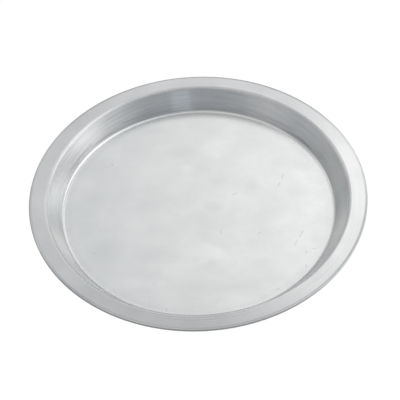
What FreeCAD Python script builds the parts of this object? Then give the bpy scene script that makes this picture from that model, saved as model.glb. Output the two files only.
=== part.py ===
"""A round aluminium pie tin, pressed from one disc of sheet.

The tin has a flat base, a wall that leans outwards, and a wide rim that droops a little and
curves down to a rounded edge. It is one solid: a single section, one sheet thick all the way,
turned about the vertical axis. The origin is the centre of the base's underside, with +Z up,
so the tin stands on z = 0. Sizes are in millimetres and angles in degrees.
"""

import FreeCAD
import Part
import math
import os

# The tin across its rim, and the sheet that it is pressed from
overall_diameter = 229.0
sheet_thickness = 1.5

# The rim, from its edge in to the corner where its top would meet the wall's inside, and its
# slope down towards the edge
rim_width = 12.0
rim_droop = 3.0

# The rim's lip, which curves down to the edge: the bend's radius below the sheet, and how far
# it turns
lip_bend_radius = 6.5
lip_turn = 12.0

# The well, from the level of that corner down to the base's upper face, and the wall's lean
# from upright
well_depth = 15.3
wall_lean = 31.8

# The bends, each measured on the side where the sheet folds tighter: below the rim, and
# inside the well
rim_bend_radius = 0.8
base_bend_radius = 2.5

FULL_TURN = 360.0
AXIS_POINT = FreeCAD.Vector(0, 0, 0)
UP = FreeCAD.Vector(0, 0, 1)


def point(radius, height):
    """A point of the section, which is drawn in the plane y = 0."""
    return FreeCAD.Vector(radius, 0, height)


def polar(centre, radius, angle):
    """The point at radius from centre, at angle degrees above the outward direction."""
    turn = math.radians(angle)
    return centre + point(radius * math.cos(turn), radius * math.sin(turn))


def line(start, end):
    return Part.LineSegment(start, end).toShape()


def arc(centre, radius, start_angle, end_angle):
    """An arc about centre between two angles, either way round."""
    middle_angle = (start_angle + end_angle) / 2
    ends = [polar(centre, radius, angle) for angle in (start_angle, middle_angle, end_angle)]
    return Part.Arc(*ends).toShape()


def bend_centres():
    """The centres of the base's bend, the rim's bend, the lip's bend and the rounded edge.

    The upper skin is three straight runs: base, wall and rim. The arc of each bend touches
    two of them, so its centre stands off their corner by a tangent length along one run, and
    by the arc's own radius square to it. The lip's arc starts where the rim's run ends, at
    the place that brings the edge out to the overall diameter. The edge is half a circle,
    centred in the sheet.
    """
    rim_corner = point(overall_diameter / 2 - rim_width, sheet_thickness + well_depth)
    wall_run = well_depth * math.tan(math.radians(wall_lean))
    base_corner = point(rim_corner.x - wall_run, sheet_thickness)

    base_turn = math.radians(90 - wall_lean)
    base_tangent = base_bend_radius * math.tan(base_turn / 2)
    base_centre = base_corner + point(-base_tangent, base_bend_radius)

    rim_turn = math.radians(90 - wall_lean + rim_droop)
    rim_top_radius = rim_bend_radius + sheet_thickness
    rim_tangent = rim_top_radius * math.tan(rim_turn / 2)
    rim_start = polar(rim_corner, rim_tangent, -rim_droop)
    rim_centre = polar(rim_start, rim_top_radius, -90 - rim_droop)

    edge_radius = sheet_thickness / 2
    rim_slope = math.radians(rim_droop)
    lip_slope = math.radians(rim_droop + lip_turn)
    lip_middle_radius = lip_bend_radius + edge_radius
    lip_reach = lip_middle_radius * (math.sin(lip_slope) - math.sin(rim_slope))
    rim_middle = polar(rim_start, edge_radius, -90 - rim_droop)
    rim_run = overall_diameter / 2 - edge_radius - lip_reach - rim_middle.x
    lip_start = rim_middle + point(rim_run, -rim_run * math.tan(rim_slope))
    lip_centre = polar(lip_start, lip_middle_radius, -90 - rim_droop)
    edge_centre = polar(lip_centre, lip_middle_radius, 90 - rim_droop - lip_turn)
    return base_centre, rim_centre, lip_centre, edge_centre


def section():
    """The closed outline of half the tin: out along the upper skin, and back along the lower.

    Each angle is the direction from an arc's centre to one of its ends.
    """
    base_centre, rim_centre, lip_centre, edge_centre = bend_centres()
    down = -90.0
    wall_from_base = -wall_lean
    wall_from_rim = 180.0 - wall_lean
    rim_above = 90.0 - rim_droop
    lip_above = rim_above - lip_turn
    lip_below = lip_above - 180.0

    base_upper_radius = base_bend_radius
    base_lower_radius = base_bend_radius + sheet_thickness
    rim_upper_radius = rim_bend_radius + sheet_thickness
    rim_lower_radius = rim_bend_radius
    lip_upper_radius = lip_bend_radius + sheet_thickness
    lip_lower_radius = lip_bend_radius
    edge_radius = sheet_thickness / 2

    upper_middle = point(0, sheet_thickness)
    upper_base_end = polar(base_centre, base_upper_radius, down)
    upper_wall_start = polar(base_centre, base_upper_radius, wall_from_base)
    upper_wall_end = polar(rim_centre, rim_upper_radius, wall_from_rim)
    upper_rim_start = polar(rim_centre, rim_upper_radius, rim_above)
    upper_rim_end = polar(lip_centre, lip_upper_radius, rim_above)

    lower_rim_end = polar(lip_centre, lip_lower_radius, rim_above)
    lower_rim_start = polar(rim_centre, rim_lower_radius, rim_above)
    lower_wall_end = polar(rim_centre, rim_lower_radius, wall_from_rim)
    lower_wall_start = polar(base_centre, base_lower_radius, wall_from_base)
    lower_base_end = polar(base_centre, base_lower_radius, down)
    lower_middle = point(0, 0)

    outline = [
        line(upper_middle, upper_base_end),
        arc(base_centre, base_upper_radius, down, wall_from_base),
        line(upper_wall_start, upper_wall_end),
        arc(rim_centre, rim_upper_radius, wall_from_rim, rim_above),
        line(upper_rim_start, upper_rim_end),
        arc(lip_centre, lip_upper_radius, rim_above, lip_above),
        arc(edge_centre, edge_radius, lip_above, lip_below),
        arc(lip_centre, lip_lower_radius, lip_above, rim_above),
        line(lower_rim_end, lower_rim_start),
        arc(rim_centre, rim_lower_radius, rim_above, wall_from_rim),
        line(lower_wall_end, lower_wall_start),
        arc(base_centre, base_lower_radius, wall_from_base, down),
        line(lower_base_end, lower_middle),
        line(lower_middle, upper_middle),
    ]
    return Part.Face(Part.Wire(outline))


def pie_tin():
    """The whole tin, as the section turned once about the vertical axis."""
    return section().revolve(AXIS_POINT, UP, FULL_TURN)


def main():
    os.makedirs("parts", exist_ok=True)
    tin = pie_tin()
    tin.exportStep("parts/pie_tin.step")
    box = tin.optimalBoundingBox()
    print(f"pie_tin: valid {tin.isValid()}, {len(tin.Solids)} solid, {tin.Volume:.0f} mm3")
    print(f"{box.XLength:.2f} mm across, {box.ZLength:.2f} mm high, from z = {box.ZMin:.2f}")


main()
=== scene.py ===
"""The looks of a round aluminium pie tin: its sheet, its finishes, the studio and the camera.

Lengths are in metres unless a comment says millimetres, and angles are in degrees.
"""

import math

import bpy
import numpy as np
from mathutils import Matrix, Vector


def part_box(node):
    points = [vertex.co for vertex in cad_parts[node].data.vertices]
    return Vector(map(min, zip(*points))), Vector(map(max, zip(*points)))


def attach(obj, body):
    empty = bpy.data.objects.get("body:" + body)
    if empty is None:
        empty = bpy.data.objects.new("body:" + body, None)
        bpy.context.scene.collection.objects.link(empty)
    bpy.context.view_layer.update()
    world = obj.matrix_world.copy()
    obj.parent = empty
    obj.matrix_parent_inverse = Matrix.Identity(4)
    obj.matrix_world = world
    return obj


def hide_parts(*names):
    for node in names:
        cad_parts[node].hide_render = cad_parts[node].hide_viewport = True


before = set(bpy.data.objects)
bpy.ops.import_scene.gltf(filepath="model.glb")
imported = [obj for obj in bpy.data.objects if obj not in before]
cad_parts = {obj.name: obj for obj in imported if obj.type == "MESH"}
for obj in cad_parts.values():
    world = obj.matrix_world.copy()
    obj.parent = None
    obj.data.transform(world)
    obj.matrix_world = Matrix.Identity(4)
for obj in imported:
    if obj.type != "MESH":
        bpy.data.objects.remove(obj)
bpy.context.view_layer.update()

MM = 0.001
SQUARE_ROOT = 0.5
NOISE_MIDDLE = 0.5

# The floor's level is the tin's lowest
tin_low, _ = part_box("pie_tin")
floor_level = tin_low[2]

# The tin's section, with the names and sizes that the part is made to
overall_radius = 114.5 * MM
sheet_thickness = 1.5 * MM
rim_width = 12.0 * MM
rim_droop = 3.0
well_depth = 15.3 * MM
wall_lean = 31.8
rim_bend_radius = 0.8 * MM
base_bend_radius = 2.5 * MM
lip_bend_radius = 6.5 * MM
lip_turn = 12.0

# How finely the sheet is divided: steps round it, and points on each run of its section
STEPS_ROUND = 360
BASE_POINTS = 56
BEND_POINTS = 14
WALL_POINTS = 40
RIM_POINTS = 18
LIP_POINTS = 8
EDGE_POINTS = 12
HIDDEN_POINTS = 12

# The metal's tints: the satin base's own and that of its duller places, which is also the painted
# shade near the wall; the same two for the turned wall and rim, where the first is also the painted
# highlight on the base's bend; the dark of the marks, which is also the painted shade on the wall;
# and the painted shade on the cut edge
METAL = (0.913, 0.931, 0.929)
DULL_METAL_AND_SHADE = (0.773, 0.793, 0.794)
TURNED_METAL = (0.918, 0.929, 0.929)
DULL_TURNED_METAL = (0.778, 0.791, 0.795)
MARK_AND_SHADE = (0.300, 0.310, 0.320)
EDGE_SHADE = (0.420, 0.430, 0.440)

# Smudges on the base, in millimetres: the middle's x and y, half of the width and half of the
# depth, and how much duller it is, or brighter where that is below nothing
SMUDGES = (
    (-9, 54, 13, 6, 0.30),
    (-43, 57, 10, 5, 0.14),
    (-71, 15, 10, 9, 0.24),
    (-63, -33, 13, 12, 0.32),
    (-31, -38, 14, 9, 0.22),
    (2, -68, 18, 7, 0.26),
    (24, -70, 14, 6, 0.22),
    (10, 1, 7, 6, 0.30),
    (-4, 12, 6, 9, 0.18),
    (15, 24, 8, 5, 0.18),
    (38, 18, 6, 8, 0.16),
    (-34, 6, 12, 9, 0.14),
    (68, 12, 9, 7, 0.18),
    (-30, -17, 10, 7, 0.16),
    (-29, 76, 14, 4, 0.22),
    (15, 56, 11, 8, -0.18),
    (-7, 38, 6, 5, -0.22),
    (-39, 23, 8, 6, -0.22),
    (5, -41, 12, 9, -0.36),
    (-18, -51, 16, 6, -0.18),
    (70, 25, 7, 6, -0.18),
    (-42, -63, 16, 6, -0.20),
)

# Nicks and scratches in the base, in millimetres: the middle's x and y, the length, its
# heading in degrees from +X, and how far from its middle line it reaches
NICKS = (
    (-59, 45, 0.8, 90, 1.3),
    (-2, 22, 0.3, 0, 0.9),
    (-8, 6, 0.3, 0, 0.9),
    (25, 12, 3.0, 25, 0.8),
    (59, 26, 3.0, 66, 0.9),
    (56, 19, 3.0, 66, 1.1),
    (68, -27, 5.5, 62, 0.9),
    (64, -34, 4.5, 65, 0.6),
    (40, -24, 2.5, 30, 0.9),
    (14, -22, 3.0, 87, 0.8),
    (70, -43, 1.0, 80, 1.1),
    (76, -40, 2.5, 6, 0.7),
    (69, -55, 3.0, 85, 0.8),
    (49, -73, 1.0, 20, 0.9),
    (-24, -86, 2.0, 89, 0.8),
    (-88, 1, 0.5, 60, 0.9),
    (-71, -35, 1.5, 30, 0.8),
)

# The ring that something round has pressed into the base, and the grooves turned in the rim,
# in millimetres
RING_PLACE = (21, -49)
RING_RADIUS = 2.2
GROOVE_RADII = (105.0, 107.0)

# How the turned lines are drawn from the broad noise and the fine one. Each has the levels at
# which a line starts and is full, and its share: soft lines that only dull, and dark hairlines
SOFT_LINES = ((0.42, 0.70, 0.5), (0.45, 0.75, 0.5))
HAIRLINES = ((0.52, 0.66, 0.3), (0.50, 0.66, 0.7))

# The floor, and how far it is lifted to white where it is looked at
FLOOR_RADIUS = 12.0
FLOOR_SIDES = 96
FLOOR_COLOUR = (0.95, 0.95, 0.95, 1.0)
FLOOR_GLOW = 0.8
FLOOR_WHITE = 1.12

# The room: its level all round, and the soft patches on top of it, each with the azimuth and
# elevation of its middle, the angles from there at which it is full and gone, its level, and
# its warmth, from 0 for the room's cool tint to 1 for the warm one. Azimuth turns from +X, the
# picture's right, to +Y, behind the tin.
ROOM_LEVEL = 0.35
COOL_TINT = (0.962, 0.993, 1.045)
WARM_TINT = (1.100, 1.010, 0.890)
ROOM_PATCHES = {
    "back_window_right": (75, 49, 4, 14, 0.59, 0.45),
    "back_window_middle": (85, 49, 4, 14, 0.24, 0.70),
    "back_window_left": (105, 49, 4, 14, 0.24, 0.30),
    "back_window_foot": (84, 41, 4, 14, 0.08, 0.0),
    "back_window_foot_left": (106, 38, 4, 14, 0.06, 0.30),
    "back_low": (90, 33, 2, 14, 0.37, 0.60),
    "back_corner": (62, 30, 2, 18, 0.71, 0.65),
    "back_left": (118, 28, 2, 18, 0.33, 1.0),
    "left_window": (142, 42, 2, 18, 0.79, 0.85),
    "right_corner": (30, 25, 5, 30, 0.51, 0.50),
    "right_wall": (10, 10, 5, 45, 0.67, 0.50),
    "right_high": (0, 40, 5, 30, 0.67, 0.25),
    "right_ceiling": (0, 65, 5, 30, 0.73, 0.40),
    "left_corner": (160, 15, 5, 35, 0.11, 1.0),
    "left_low": (220, 10, 5, 35, 0.05, 1.0),
    "left_wall": (195, 5, 10, 50, 0.07, 0.40),
    "left_ceiling": (199, 72, 20, 30, 0.33, 1.0),
    "front_corner": (335, 20, 5, 35, 0.22, 0.30),
}

# The strip lamp in front, which makes the streak on the far wall: its place as seen from the
# tin, its size, its tint, and its level, at which it would show in a mirror
LAMP_DISTANCE = 1.5
LAMP_AZIMUTH = 278.8
LAMP_ELEVATION = 26
LAMP_WIDTH = 0.33
LAMP_HEIGHT = 0.60
LAMP_TINT = (0.72, 0.92, 1.0)
LAMP_LEVEL = 0.16

# The base's slow waves, left by the press, and the ripples left by turning the wall
BASE_WAVE_HEIGHT = 0.10 * MM
WALL_RIPPLE_HEIGHT = 0.010 * MM
RANDOM_SEED = 7


def base_corner_radius():
    """Where the base's upper face would meet the wall's inside, without the bend."""
    return overall_radius - rim_width - well_depth * math.tan(math.radians(wall_lean))


def base_tangent():
    """How far the base's bend reaches in from that corner."""
    return base_bend_radius * math.tan(math.radians(90 - wall_lean) / 2)


def unit(angle):
    """The direction at angle above outward in the section: its cosine, then its sine."""
    turn = np.radians(angle)
    return np.array([np.cos(turn), np.sin(turn)])


def polar(centre, radius, angle):
    """The point at a distance from the centre, in the direction of the angle."""
    return centre + radius * unit(angle)


def straight(start, end, count):
    """A straight run: equal steps from start to end, with the outward normal on its left."""
    share = np.linspace(0.0, 1.0, count)[:, None]
    run = (end - start) / np.linalg.norm(end - start)
    normal = np.array([-run[1], run[0]])
    return start + (end - start) * share, np.tile(normal, (count, 1))


def bend(centre, radius, start_angle, end_angle, count, side):
    """A round run: the centre plus the radius times the direction of each angle in turn.

    The normal is that direction where side is 1, and its opposite where side is -1.
    """
    around = unit(np.linspace(start_angle, end_angle, count)).T
    return centre + radius * around, side * around


def bend_centres():
    """The centres of the base's bend, the rim's bend, the lip's bend and the rounded edge.

    Each bend touches the two runs beside it. Its centre stands off their corner by a tangent
    length along one run, and by the bend's radius square to it. The lip starts at the place on
    the rim's run that brings the edge out to the overall radius.
    """
    rim_corner = np.array([overall_radius - rim_width, sheet_thickness + well_depth])
    base_corner = np.array([base_corner_radius(), sheet_thickness])
    base_centre = base_corner + np.array([-base_tangent(), base_bend_radius])

    rim_top_radius = rim_bend_radius + sheet_thickness
    rim_tangent = rim_top_radius * math.tan(math.radians(90 - wall_lean + rim_droop) / 2)
    rim_start = polar(rim_corner, rim_tangent, -rim_droop)
    rim_centre = polar(rim_start, rim_top_radius, -90 - rim_droop)

    edge_radius = sheet_thickness / 2
    rim_slope = math.radians(rim_droop)
    lip_slope = math.radians(rim_droop + lip_turn)
    lip_middle_radius = lip_bend_radius + edge_radius
    lip_reach = lip_middle_radius * (math.sin(lip_slope) - math.sin(rim_slope))
    rim_middle = polar(rim_start, edge_radius, -90 - rim_droop)
    rim_run = overall_radius - edge_radius - lip_reach - rim_middle[0]
    lip_start = rim_middle + np.array([rim_run, -rim_run * math.tan(rim_slope)])
    lip_centre = polar(lip_start, lip_middle_radius, -90 - rim_droop)
    edge_centre = polar(lip_centre, lip_middle_radius, 90 - rim_droop - lip_turn)
    return base_centre, rim_centre, lip_centre, edge_centre


def section_runs():
    """The runs of half the tin's outline by name, from the middle of its top to that below.

    Each angle is the direction from a bend's centre to one of its ends.
    """
    base_centre, rim_centre, lip_centre, edge_centre = bend_centres()
    down = -90.0
    wall_from_base = -wall_lean
    wall_from_rim = 180.0 - wall_lean
    rim_above = 90.0 - rim_droop
    lip_above = rim_above - lip_turn
    lip_below = lip_above - 180.0

    base_upper_radius = base_bend_radius
    base_lower_radius = base_bend_radius + sheet_thickness
    rim_upper_radius = rim_bend_radius + sheet_thickness
    rim_lower_radius = rim_bend_radius
    lip_upper_radius = lip_bend_radius + sheet_thickness
    lip_lower_radius = lip_bend_radius
    edge_radius = sheet_thickness / 2

    upper_middle = np.array([0.0, sheet_thickness])
    upper_base_end = polar(base_centre, base_upper_radius, down)
    upper_wall_start = polar(base_centre, base_upper_radius, wall_from_base)
    upper_wall_end = polar(rim_centre, rim_upper_radius, wall_from_rim)
    upper_rim_start = polar(rim_centre, rim_upper_radius, rim_above)
    upper_rim_end = polar(lip_centre, lip_upper_radius, rim_above)
    lower_rim_end = polar(lip_centre, lip_lower_radius, rim_above)
    lower_rim_start = polar(rim_centre, rim_lower_radius, rim_above)
    lower_wall_end = polar(rim_centre, rim_lower_radius, wall_from_rim)
    lower_wall_start = polar(base_centre, base_lower_radius, wall_from_base)
    lower_base_end = polar(base_centre, base_lower_radius, down)
    lower_middle = np.array([0.0, 0.0])
    return {
        "base": straight(upper_middle, upper_base_end, BASE_POINTS),
        "base_bend": bend(base_centre, base_upper_radius, down, wall_from_base, BEND_POINTS, -1),
        "wall": straight(upper_wall_start, upper_wall_end, WALL_POINTS),
        "rim_bend": bend(rim_centre, rim_upper_radius, wall_from_rim, rim_above, BEND_POINTS, 1),
        "rim": straight(upper_rim_start, upper_rim_end, RIM_POINTS),
        "lip": bend(lip_centre, lip_upper_radius, rim_above, lip_above, LIP_POINTS, 1),
        "edge": bend(edge_centre, edge_radius, lip_above, lip_below, EDGE_POINTS, 1),
        "lip_under": bend(lip_centre, lip_lower_radius, lip_above, rim_above, LIP_POINTS, -1),
        "rim_under": straight(lower_rim_end, lower_rim_start, HIDDEN_POINTS),
        "rim_bend_under": bend(
            rim_centre, rim_lower_radius, rim_above, wall_from_rim, BEND_POINTS, -1
        ),
        "wall_under": straight(lower_wall_end, lower_wall_start, HIDDEN_POINTS),
        "base_bend_under": bend(
            base_centre, base_lower_radius, wall_from_base, down, BEND_POINTS, 1
        ),
        "base_under": straight(lower_base_end, lower_middle, BASE_POINTS),
    }


def section():
    """All the runs joined: the points and their outward normals, as (radius, height) pairs, and
    the name of the run that each point is on.
    """
    points, normals, names = [], [], []
    for name, (run_points, run_normals) in section_runs().items():
        # Each run starts where the last one ended, so that point is taken once
        skip = 1 if points else 0
        points.append(run_points[skip:])
        normals.append(run_normals[skip:])
        names += [name] * (len(run_points) - skip)
    return np.concatenate(points), np.concatenate(normals), np.array(names)


def base_waves(x, y):
    """The base's slow waves: a sum of plane waves in random directions, faded to the bend.

    Each wave is a cosine of the distance along its direction. The sum is scaled to lie
    between nothing and the wave height, so that the underside never passes the floor. The
    fade is three squares less two cubes of the way in from the still edge.
    """
    wave_count = 14
    shortest_wave = 38.0
    longest_wave = 90.0
    still_radius = 86.0 * MM
    fade_width = 16.0 * MM
    random = np.random.default_rng(RANDOM_SEED)
    total = np.zeros_like(x)
    for _ in range(wave_count):
        heading = random.uniform(0.0, math.tau)
        length = random.uniform(shortest_wave, longest_wave) * MM
        along = x * math.cos(heading) + y * math.sin(heading)
        total += np.cos(math.tau * along / length + random.uniform(0.0, math.tau))
    total /= math.sqrt(2 * wave_count)
    way_in = np.clip((still_radius - np.hypot(x, y)) / fade_width, 0.0, 1.0)
    fade = way_in * way_in * (3 - 2 * way_in)
    return BASE_WAVE_HEIGHT * fade * np.clip((1 + total) / 2, 0.0, 1.0)


def wall_ripples(count):
    """The wall's turned ripples: random heights, smoothed over neighbours, one for each point."""
    neighbour_shares = [0.25, 0.5, 0.25]
    random = np.random.default_rng(RANDOM_SEED)
    rough = random.normal(0.0, 1.0, count)
    smooth = np.convolve(rough, neighbour_shares, mode="same")
    ends = np.sin(np.linspace(0.0, math.pi, count))
    return WALL_RIPPLE_HEIGHT * smooth * ends


def sheet_corners(points):
    """The section turned round the axis, row by row, and then its two middle points.

    A point at radius r, height h and angle a lies at (r cos a, r sin a, h). The base's waves
    lift both of its faces, so the sheet keeps its thickness.
    """
    inner = points[1:-1]
    turn = np.linspace(0.0, math.tau, STEPS_ROUND, endpoint=False)
    x = np.outer(inner[:, 0], np.cos(turn))
    y = np.outer(inner[:, 0], np.sin(turn))
    z = inner[:, 1][:, None] + base_waves(x, y)
    grid = np.stack([x, y, z], axis=2).reshape(-1, 3)
    middle_lift = base_waves(np.zeros(1), np.zeros(1))[0]
    top = [0.0, 0.0, points[0, 1] + middle_lift]
    bottom = [0.0, 0.0, points[-1, 1] + middle_lift]
    return np.concatenate([grid, [top, bottom]])


def sheet_faces(rows):
    """The faces between neighbouring rows, and the two fans round the middle points."""
    index = np.arange(rows * STEPS_ROUND).reshape(rows, STEPS_ROUND)
    ahead = np.roll(index, -1, axis=1)
    quads = np.stack([index[:-1], index[1:], ahead[1:], ahead[:-1]], axis=2).reshape(-1, 4)
    top = np.full(STEPS_ROUND, rows * STEPS_ROUND)
    bottom = top + 1
    top_fan = np.stack([top, index[0], ahead[0]], axis=1)
    bottom_fan = np.stack([bottom, ahead[-1], index[-1]], axis=1)
    return quads.tolist() + top_fan.tolist() + bottom_fan.tolist()


def sheet_map(points):
    """The sheet's flat map, for each face's corners in turn.

    Across is the share of the way round the tin, and up is the share of the way along the
    section.
    """
    steps = np.linalg.norm(np.diff(points, axis=0), axis=1)
    along = np.concatenate([[0.0], np.cumsum(steps)])
    along = along / along[-1]
    one_step = 1 / STEPS_ROUND
    across = np.arange(STEPS_ROUND) * one_step
    half = across + one_step / 2
    ahead = across + one_step
    rows = along[1:-1]
    low = np.repeat(rows[:-1], STEPS_ROUND)
    high = np.repeat(rows[1:], STEPS_ROUND)
    near = np.tile(across, len(rows) - 1)
    far = near + one_step
    first = np.full(STEPS_ROUND, along[1])
    last = np.full(STEPS_ROUND, along[-2])
    start = np.zeros(STEPS_ROUND)
    end = np.ones(STEPS_ROUND)
    quad_map = np.stack([near, low, near, high, far, high, far, low], axis=1)
    top_map = np.stack([half, start, across, first, ahead, first], axis=1)
    bottom_map = np.stack([half, end, ahead, last, across, last], axis=1)
    return np.concatenate([quad_map.ravel(), top_map.ravel(), bottom_map.ravel()])


def tin_piece():
    """The whole sheet as one closed mesh. The ripples move the wall's inside along its normal."""
    points, normals, names = section()
    on_wall = names == "wall"
    ripple = np.zeros(len(points))
    ripple[on_wall] = wall_ripples(int(on_wall.sum()))
    points = points + normals * ripple[:, None]

    faces = sheet_faces(len(points) - 2)
    mesh = bpy.data.meshes.new("tin_sheet")
    mesh.from_pydata(sheet_corners(points).tolist(), [], faces)
    mesh.polygons.foreach_set("use_smooth", np.ones(len(faces), bool))
    layer = mesh.uv_layers.new(name="round_and_along")
    layer.data.foreach_set("uv", sheet_map(points))
    mesh.update()
    mesh.validate()

    piece = bpy.data.objects.new("pie_tin_sheet", mesh)
    bpy.context.scene.collection.objects.link(piece)
    return piece


class Signal:
    """One output of a shader node, used in sums as if it were a number."""

    def __init__(self, wiring, socket):
        self.wiring = wiring
        self.socket = socket

    def __add__(self, other):
        return self.wiring.math("ADD", self, other)

    __radd__ = __add__

    def __sub__(self, other):
        return self.wiring.math("SUBTRACT", self, other)

    def __rsub__(self, other):
        return self.wiring.math("SUBTRACT", other, self)

    def __mul__(self, other):
        return self.wiring.math("MULTIPLY", self, other)

    __rmul__ = __mul__

    def __truediv__(self, other):
        return self.wiring.math("DIVIDE", self, other)

    def __pow__(self, other):
        return self.wiring.math("POWER", self, other)

    def __abs__(self):
        return self.wiring.math("ABSOLUTE", self)


class Wiring:
    """Adds nodes to one emptied node tree."""

    def __init__(self, owner):
        owner.use_nodes = True
        self.tree = owner.node_tree
        self.tree.nodes.clear()

    def add(self, kind, settings=None, sockets=None, output=0):
        """One node of a kind: its settings first, then the values or links of its sockets."""
        node = self.tree.nodes.new(kind)
        for name, value in (settings or {}).items():
            setattr(node, name, value)
        for name, value in (sockets or {}).items():
            if isinstance(value, Signal):
                self.tree.links.new(value.socket, node.inputs[name])
            else:
                node.inputs[name].default_value = value
        return Signal(self, node.outputs[output]) if node.outputs else node

    def math(self, operation, *values):
        """A Math node's result, for an operation on one or more numbers."""
        return self.add("ShaderNodeMath", {"operation": operation}, dict(enumerate(values)))

    def smooth(self, value, start, end):
        """0 where value is at start, 1 where it is at end, and eased between."""
        settings = {"interpolation_type": "SMOOTHSTEP"}
        sockets = {"Value": value, "From Min": start, "From Max": end}
        return self.add("ShaderNodeMapRange", settings, sockets)

    def axes(self, vector):
        """The three parts of a vector."""
        split = self.add("ShaderNodeSeparateXYZ", sockets={"Vector": vector})
        outputs = split.socket.node.outputs
        return [Signal(self, output) for output in outputs]

    def vector(self, x, y, z):
        """A vector made of its three parts."""
        return self.add("ShaderNodeCombineXYZ", sockets={"X": x, "Y": y, "Z": z})

    def noise(self, vector, scale, detail, roughness=0.5):
        """Cloudy noise from 0 to 1, mostly near 0.5, with scale features to the unit."""
        sockets = {"Vector": vector, "Scale": scale, "Detail": detail, "Roughness": roughness}
        return self.add("ShaderNodeTexNoise", sockets=sockets)

    def blend(self, share, first, second):
        """The first colour where share is 0, and the second where it is 1."""
        settings = {"data_type": "RGBA"}
        node = self.add("ShaderNodeMix", settings, {"Factor": share}).socket.node
        colour_inputs = [socket for socket in node.inputs if socket.type == "RGBA"]
        for socket, colour in zip(colour_inputs, (first, second)):
            if isinstance(colour, Signal):
                self.tree.links.new(colour.socket, socket)
            else:
                socket.default_value = (*colour, 1.0)
        result = next(socket for socket in node.outputs if socket.type == "RGBA")
        return Signal(self, result)

    def bump(self, height, strength, distance):
        """The normal of a surface raised by height times the distance, as far as strength says."""
        sockets = {"Height": height, "Strength": strength, "Distance": distance}
        return self.add("ShaderNodeBump", sockets=sockets)


def toward(azimuth, elevation):
    """The direction at an azimuth, turning from +X to +Y, and an elevation above the floor."""
    around = math.radians(azimuth)
    above = math.radians(elevation)
    return (
        math.cos(above) * math.cos(around),
        math.cos(above) * math.sin(around),
        math.sin(above),
    )


def room_patch(wiring, direction, azimuth, elevation, full, end):
    """A soft round patch of the room: 1 near its middle, easing to 0 at its end angle."""
    settings = {"operation": "DOT_PRODUCT"}
    sockets = {0: direction, 1: toward(azimuth, elevation)}
    nearness = wiring.add("ShaderNodeVectorMath", settings, sockets, "Value")
    angle = wiring.math("ARCCOSINE", nearness)
    return wiring.smooth(angle, math.radians(end), math.radians(full))


def room():
    """The room as light: bright behind the tin and on its right, and dim in front.

    Its level is the sum of the even level and the patches. Its tint lies between the cool and
    the warm by the share of that sum which comes from warm light.
    """
    world = bpy.data.worlds.new("room")
    bpy.context.scene.world = world
    wiring = Wiring(world)
    direction = wiring.add("ShaderNodeTexCoord", output="Generated")
    level = ROOM_LEVEL
    warm_level = 0.0
    for azimuth, elevation, full, end, strength, warmth in ROOM_PATCHES.values():
        patch = room_patch(wiring, direction, azimuth, elevation, full, end) * strength
        level = patch + level
        warm_level = patch * warmth + warm_level
    tint = wiring.blend(warm_level / level, COOL_TINT, WARM_TINT)
    paint = wiring.add("ShaderNodeBackground", sockets={"Color": tint, "Strength": level})
    wiring.add("ShaderNodeOutputWorld", sockets={"Surface": paint})


def strip_lamp():
    """The soft strip lamp, turned to the tin. Its energy is its level times pi times its area."""
    data = bpy.data.lights.new("front_strip", "AREA")
    data.shape = "RECTANGLE"
    data.size = LAMP_WIDTH
    data.size_y = LAMP_HEIGHT
    data.energy = LAMP_LEVEL * math.pi * LAMP_WIDTH * LAMP_HEIGHT
    data.color = LAMP_TINT
    lamp = bpy.data.objects.new("front_strip", data)
    away = Vector(toward(LAMP_AZIMUTH, LAMP_ELEVATION))
    lamp.location = away * LAMP_DISTANCE
    lamp.rotation_euler = away.to_track_quat("Z", "Y").to_euler()
    bpy.context.scene.collection.objects.link(lamp)


def floor_piece():
    """A wide round floor at the level that the tin stands on: one face with many sides."""
    turn = np.linspace(0.0, math.tau, FLOOR_SIDES, endpoint=False)
    x = FLOOR_RADIUS * np.cos(turn)
    y = FLOOR_RADIUS * np.sin(turn)
    z = np.full(FLOOR_SIDES, floor_level)
    mesh = bpy.data.meshes.new("floor")
    mesh.from_pydata(np.stack([x, y, z], axis=1).tolist(), [], [list(range(FLOOR_SIDES))])
    floor = bpy.data.objects.new("floor", mesh)
    bpy.context.scene.collection.objects.link(floor)

    material = bpy.data.materials.new("pale_floor")
    wiring = Wiring(material)
    paint = wiring.add("ShaderNodeBsdfDiffuse", sockets={"Color": FLOOR_COLOUR})
    white = wiring.add("ShaderNodeEmission", sockets={"Strength": FLOOR_WHITE})
    rays = wiring.add("ShaderNodeLightPath").socket.node.outputs
    camera_ray = Signal(wiring, rays["Is Camera Ray"])
    glossy_ray = Signal(wiring, rays["Is Glossy Ray"])
    clear_ray = Signal(wiring, rays["Is Transmission Ray"])
    seen = wiring.math("MINIMUM", camera_ray + glossy_ray + clear_ray, 1.0)
    share = seen * FLOOR_GLOW
    surface = wiring.add("ShaderNodeMixShader", sockets={"Fac": share, 1: paint, 2: white})
    wiring.add("ShaderNodeOutputMaterial", sockets={"Surface": surface})
    mesh.materials.append(material)


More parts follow.
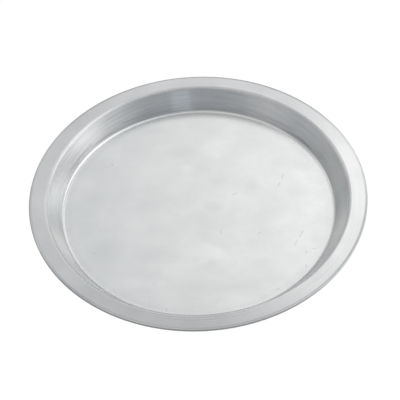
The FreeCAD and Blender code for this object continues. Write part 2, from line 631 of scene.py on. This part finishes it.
def camera():
    """The photograph's camera, from the fitted view of the rim, the wall's top and the base.

    The view looks down by its elevation and is rolled a little. The rim's middle lies at a
    distance along the view, and a little left of and above the picture's centre.
    """
    picture_width = 400.0
    focal_length_pixels = 1650.0
    sensor_width = 36.0
    nearest = 0.05
    farthest = 40.0
    elevation = 48.56
    roll = -2.79
    distance = 1116.0 * MM
    rightward = -1.47 * MM
    downward = -3.99 * MM
    look_at = Vector((0.0, 0.0, sheet_thickness + well_depth))

    tilt = math.radians(elevation)
    turn = math.radians(roll)
    right = Vector((math.cos(turn), math.sin(turn), 0.0))
    up = Vector((math.sin(turn) * math.cos(tilt), -math.cos(turn) * math.cos(tilt), -math.sin(tilt)))
    back = up.cross(right)
    # Rows: the tin's own axes as the picture sees them, with x right, y down and z away
    seen = Matrix((right, back, up))
    place = Vector((rightward, downward, distance))
    location = look_at - seen @ place
    axes = Matrix((seen.col[0], -seen.col[1], -seen.col[2])).transposed()

    data = bpy.data.cameras.new("camera")
    data.sensor_width = sensor_width
    data.lens = focal_length_pixels / picture_width * sensor_width
    data.clip_start = nearest
    data.clip_end = farthest
    view = bpy.data.objects.new("camera", data)
    view.matrix_world = Matrix.Translation(location) @ axes.to_4x4()
    bpy.context.scene.collection.objects.link(view)
    bpy.context.scene.camera = view


def span_of(across, deep):
    """The straight distance over two square steps: the root of the sum of their squares."""
    return (across * across + deep * deep) ** SQUARE_ROOT


def place_on_tin(wiring):
    """The place on the tin: x, y and z, and the radius from the axis."""
    x, y, z = wiring.axes(wiring.add("ShaderNodeTexCoord", output="Object"))
    return x, y, z, span_of(x, y)


def smudge(wiring, x, y, unevenness, middle_x, middle_y, half_width, half_depth, dullness):
    """A soft oval patch: full near its middle and gone at its outline, which is uneven.

    The reach is the distance from the middle, counted in half widths across and half depths
    deep.
    """
    gone_at = 1.3
    full_at = 0.1
    across = (x - middle_x * MM) / (half_width * MM)
    deep = (y - middle_y * MM) / (half_depth * MM)
    reach = span_of(across, deep) + unevenness
    return wiring.smooth(reach, gone_at, full_at) * dullness


def nick(wiring, x, y, middle_x, middle_y, length, heading, reach):
    """1 along a short scratch and 0 past its reach: a distance to a segment, eased.

    The place is turned so that the scratch lies along the first axis. What is past the
    scratch's half length on that axis, and the whole second axis, make up the distance.
    """
    turn = math.radians(heading)
    along_x = math.cos(turn)
    along_y = math.sin(turn)
    from_x = x - middle_x * MM
    from_y = y - middle_y * MM
    along = abs(from_x * along_x + from_y * along_y)
    beside = from_y * along_x - from_x * along_y
    past = wiring.math("MAXIMUM", along - length / 2 * MM, 0.0)
    return wiring.smooth(span_of(past, beside), reach * MM, 0.0)


def circle_line(wiring, distance, radius, half_width):
    """1 on a circle, and 0 past half of its line's width. The radius and that are in mm."""
    return wiring.smooth(abs(distance - radius * MM), half_width * MM, 0.0)


def metal(wiring, colour, roughness, height, depth, anisotropy):
    """The bare metal's shader, with a blur that is drawn out across the circle by turning."""
    bump_strength = 0.35
    across_the_turn = 0.25
    shader = wiring.add(
        "ShaderNodeBsdfPrincipled",
        sockets={
            "Base Color": colour,
            "Metallic": 1.0,
            "Roughness": roughness,
            "Anisotropic": anisotropy,
            "Anisotropic Rotation": across_the_turn,
            "Normal": wiring.bump(height, bump_strength, depth),
        },
    )
    wiring.add("ShaderNodeOutputMaterial", sockets={"Surface": shader})


def base_dullness(wiring, x, y, clouds):
    """How dull the base is: its clouds, and each smudge on top, with an outline they upset."""
    cloud_start = 0.22
    cloud_full = 0.78
    cloud_share = 0.50
    least_dullness = 0.03
    outline_upset = 2.4
    dull = wiring.smooth(clouds, cloud_start, cloud_full) * cloud_share + least_dullness
    unevenness = (clouds - NOISE_MIDDLE) * outline_upset
    for place in SMUDGES:
        dull = dull + smudge(wiring, x, y, unevenness, *place)
    return dull


def base_marks(wiring, x, y, grain):
    """The nicks, and the ring, which the grain breaks into bits: 1 where a nick is full."""
    ring_half_width = 0.7
    ring_share = 0.7
    break_start = 0.40
    break_end = 0.60
    ring_x, ring_y = RING_PLACE
    from_ring = span_of(x - ring_x * MM, y - ring_y * MM)
    ring = circle_line(wiring, from_ring, RING_RADIUS, ring_half_width)
    marks = ring * wiring.smooth(grain, break_start, break_end) * ring_share
    for place in NICKS:
        marks = wiring.math("MAXIMUM", nick(wiring, x, y, *place), marks)
    return marks


def base_specks_and_shade(wiring, radius, grain):
    """Dull specks where the grain is high, a few all over and more of them near the wall, and
    painted shade that darkens the base near the wall.
    """
    gather_start = 85 * MM
    gather_end = 89 * MM
    speck_start = 0.56
    speck_full = 0.72
    specks_all_over = 0.10
    more_near_wall = 0.55
    # The even darkening of the base near the wall is painted shade.
    painted_shade_near_wall = 0.15
    near_wall = wiring.smooth(radius, gather_start, gather_end)
    specks = wiring.smooth(grain, speck_start, speck_full)
    return specks * (near_wall * more_near_wall + specks_all_over) + near_wall * painted_shade_near_wall


def base_finish():
    """Satin sheet: cloudy, with soft smudges, nicks, specks that gather towards the wall, and
    painted shade near the wall.
    """
    cloud_size = 32 * MM
    cloud_flattening = 1.25
    grain_size = 1.3 * MM
    mark_darkness = 0.18
    polish = 0.205
    dull_roughness = 0.05
    grain_roughness = 0.04
    grain_height = 0.15
    mark_depth = 0.8
    bump_depth = 0.05 * MM
    no_grain_direction = 0.0
    material = bpy.data.materials.new("satin_base")
    wiring = Wiring(material)
    x, y, z, radius = place_on_tin(wiring)
    cloud_place = wiring.vector(x, y * cloud_flattening, z)
    clouds = wiring.noise(cloud_place, 1 / cloud_size, detail=5.0, roughness=0.62)
    grain = wiring.noise(wiring.vector(x, y, z), 1 / grain_size, detail=3.0, roughness=0.6)

    dull = base_dullness(wiring, x, y, clouds)
    marks = base_marks(wiring, x, y, grain)
    specks = base_specks_and_shade(wiring, radius, grain)
    # The specks' share also holds the painted shade near the wall.
    colour = wiring.blend(dull + specks, METAL, DULL_METAL_AND_SHADE)
    colour = wiring.blend(marks * mark_darkness, colour, MARK_AND_SHADE)
    roughness = dull * dull_roughness + grain * grain_roughness + polish
    height = grain * grain_height - marks * mark_depth
    metal(wiring, colour, roughness, height, bump_depth, no_grain_direction)
    return material


def turned_noises(wiring, along, round_x, round_y):
    """A broad noise and a fine one, each stretched along the circle.

    Each is read at the place along the section, and at the direction round the tin, so that a
    line keeps its height and fades in and out along its way.
    """
    line_width = 1.5 * MM
    line_changes = 2.5
    hair_width = 0.8 * MM
    hair_changes = 3.0
    line_place = wiring.vector(
        along / line_width, round_x * line_changes, round_y * line_changes
    )
    hair_place = wiring.vector(
        along / hair_width, round_x * hair_changes, round_y * hair_changes
    )
    broad = wiring.noise(line_place, scale=1.0, detail=2.0)
    fine = wiring.noise(hair_place, scale=1.0, detail=2.0, roughness=0.6)
    return broad, fine


def drawn_lines(wiring, broad, fine, ranges):
    """Lines drawn from the two noises: each is eased over its range and given its share."""
    (broad_start, broad_full, broad_share), (fine_start, fine_full, fine_share) = ranges
    broad_lines = wiring.smooth(broad, broad_start, broad_full) * broad_share
    fine_lines = wiring.smooth(fine, fine_start, fine_full) * fine_share
    return broad_lines + fine_lines


def rim_grooves(wiring, radius, round_y):
    """The grooves round the rim, which show at its near side only."""
    half_width = 0.45
    fade_start = -0.93
    fade_end = -0.985
    grooves = 0.0
    for groove_radius in GROOVE_RADII:
        grooves = circle_line(wiring, radius, groove_radius, half_width) + grooves
    return grooves * wiring.smooth(round_y, fade_start, fade_end)


def wall_zones(wiring, z, round_y):
    """Four shares from 0 to 1: the wall, the far side, the base's bend, and the wall's far foot,
    where shade is painted.
    """
    wall_top = 16.6 * MM
    wall_full = 15.0 * MM
    bend_top = 3.0 * MM
    bend_full = 1.8 * MM
    foot_top = 10.0 * MM
    foot_full = 2.6 * MM
    far_start = -0.6
    far_full = 0.6
    on_wall = wiring.smooth(z, wall_top, wall_full)
    far_side = wiring.smooth(round_y, far_start, far_full)
    base_bend = wiring.smooth(z, bend_top, bend_full)
    foot = wiring.smooth(z, foot_top, foot_full) * far_side * (1 - base_bend)
    return on_wall, far_side, base_bend, foot


def painted_edge_shade(wiring, radius, round_x):
    """1 on the sheet's cut edge, where shade is painted, and about half of that on the tin's right.
    """
    edge_start = 113.5 * MM
    edge_full = 114.3 * MM
    right_start = 0.5
    right_full = 0.9
    right_loss = 0.45
    right_side = wiring.smooth(round_x, right_start, right_full)
    return wiring.smooth(radius, edge_start, edge_full) * (1 - right_side * right_loss)


def rim_corner_line(wiring, radius):
    """1 in the bend between wall and rim, and 0 away from it."""
    corner_radius = 102.7 * MM
    gone_at = 1.5 * MM
    full_at = 0.5 * MM
    return wiring.smooth(abs(radius - corner_radius), gone_at, full_at)


def turned_darkening_and_bend_highlight(wiring, clouds, lines, grooves, on_wall, base_bend):
    """How far the turned metal's colour goes to its darker tint: clouds, soft lines, grooves and the
    rim as a whole, less on the wall, and much less on the base's bend, which is a painted highlight.
    """
    cloud_start = 0.30
    cloud_full = 0.70
    cloud_share = 0.45
    line_share = 0.15
    groove_share = 0.5
    rim_darkening = 0.36
    wall_lightening = 0.24
    # The base's bend is lightened: a painted highlight.
    painted_bend_highlight = 0.5
    dull = wiring.smooth(clouds, cloud_start, cloud_full) * cloud_share
    dull = dull + lines * line_share + grooves * groove_share + rim_darkening
    return dull - on_wall * wall_lightening - base_bend * painted_bend_highlight


def wall_lines_and_shade(hairs, on_wall, far_side, base_bend, foot):
    """How dark the wall is drawn: its hairlines, darker on the far side as painted shade, and
    painted shade at its far foot.
    """
    near_hairs = 0.10
    far_side_hair_shade = 0.14
    foot_hair_shade = 0.30
    foot_shade = 0.26
    hairline_darkness = on_wall * (far_side * far_side_hair_shade + near_hairs) + foot * foot_hair_shade
    return hairs * hairline_darkness * (1 - base_bend) + foot * foot_shade


def turned_finish():
    """Turned metal: fine lines that run round the wall and rim, a dull cut edge with painted shade
    on it, painted shade at the far wall's foot, and a painted highlight on the base's bend.
    """
    cloud_size = 22 * MM
    polish = 0.165
    edge_roughness = 0.3
    corner_roughness = 0.22
    bend_roughness = 0.09
    line_roughness = 0.06
    fine_height = 0.4
    rim_height = 0.25
    more_on_wall = 0.30
    groove_depth = 1.5
    bump_depth = 0.03 * MM
    stretch = 0.8
    material = bpy.data.materials.new("turned_rim_and_wall")
    wiring = Wiring(material)
    x, y, z, radius = place_on_tin(wiring)
    round_x = x / radius
    round_y = y / radius
    broad, fine = turned_noises(wiring, radius + z, round_x, round_y)
    clouds = wiring.noise(wiring.vector(x, y, z), 1 / cloud_size, detail=3.0)
    lines = drawn_lines(wiring, broad, fine, SOFT_LINES)
    hairs = drawn_lines(wiring, broad, fine, HAIRLINES)
    grooves = rim_grooves(wiring, radius, round_y)
    edge = painted_edge_shade(wiring, radius, round_x)
    corner = rim_corner_line(wiring, radius)
    on_wall, far_side, base_bend, foot = wall_zones(wiring, z, round_y)

    # Much lower on the base's bend, which keeps the clean tint there as a painted highlight.
    dull = turned_darkening_and_bend_highlight(wiring, clouds, lines, grooves, on_wall, base_bend)
    lines_and_shade = wall_lines_and_shade(hairs, on_wall, far_side, base_bend, foot)
    colour = wiring.blend(dull, TURNED_METAL, DULL_TURNED_METAL)
    # The wall's dark hairlines, drawn darker on the far side, and its far foot: painted shade, mixed
    # to the marks' dark.
    colour = wiring.blend(lines_and_shade, colour, MARK_AND_SHADE)
    # The cut edge is darkened: painted shade.
    colour = wiring.blend(edge, colour, EDGE_SHADE)
    roughness = edge * edge_roughness + corner * corner_roughness + base_bend * bend_roughness
    roughness = roughness + broad * line_roughness + polish
    height = (broad + fine * fine_height) * (on_wall * more_on_wall + rim_height)
    height = height - grooves * groove_depth
    metal(wiring, colour, roughness, height, bump_depth, stretch)
    return material


def dress(tin):
    """Gives the tin its two finishes: satin on the flat of the base, and turned beyond it."""
    tin.data.materials.append(base_finish())
    tin.data.materials.append(turned_finish())
    middles = np.empty(len(tin.data.polygons) * 3)
    tin.data.polygons.foreach_get("center", middles)
    middles = middles.reshape(-1, 3)
    flat_radius = base_corner_radius() - base_tangent()
    turned = (np.hypot(middles[:, 0], middles[:, 1]) > flat_radius).astype(np.int32)
    tin.data.polygons.foreach_set("material_index", turned)


tin = tin_piece()
dress(tin)
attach(tin, "root")
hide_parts("pie_tin")

floor_piece()
room()
strip_lamp()
camera()

scene = bpy.context.scene
scene.view_settings.view_transform = "Standard"
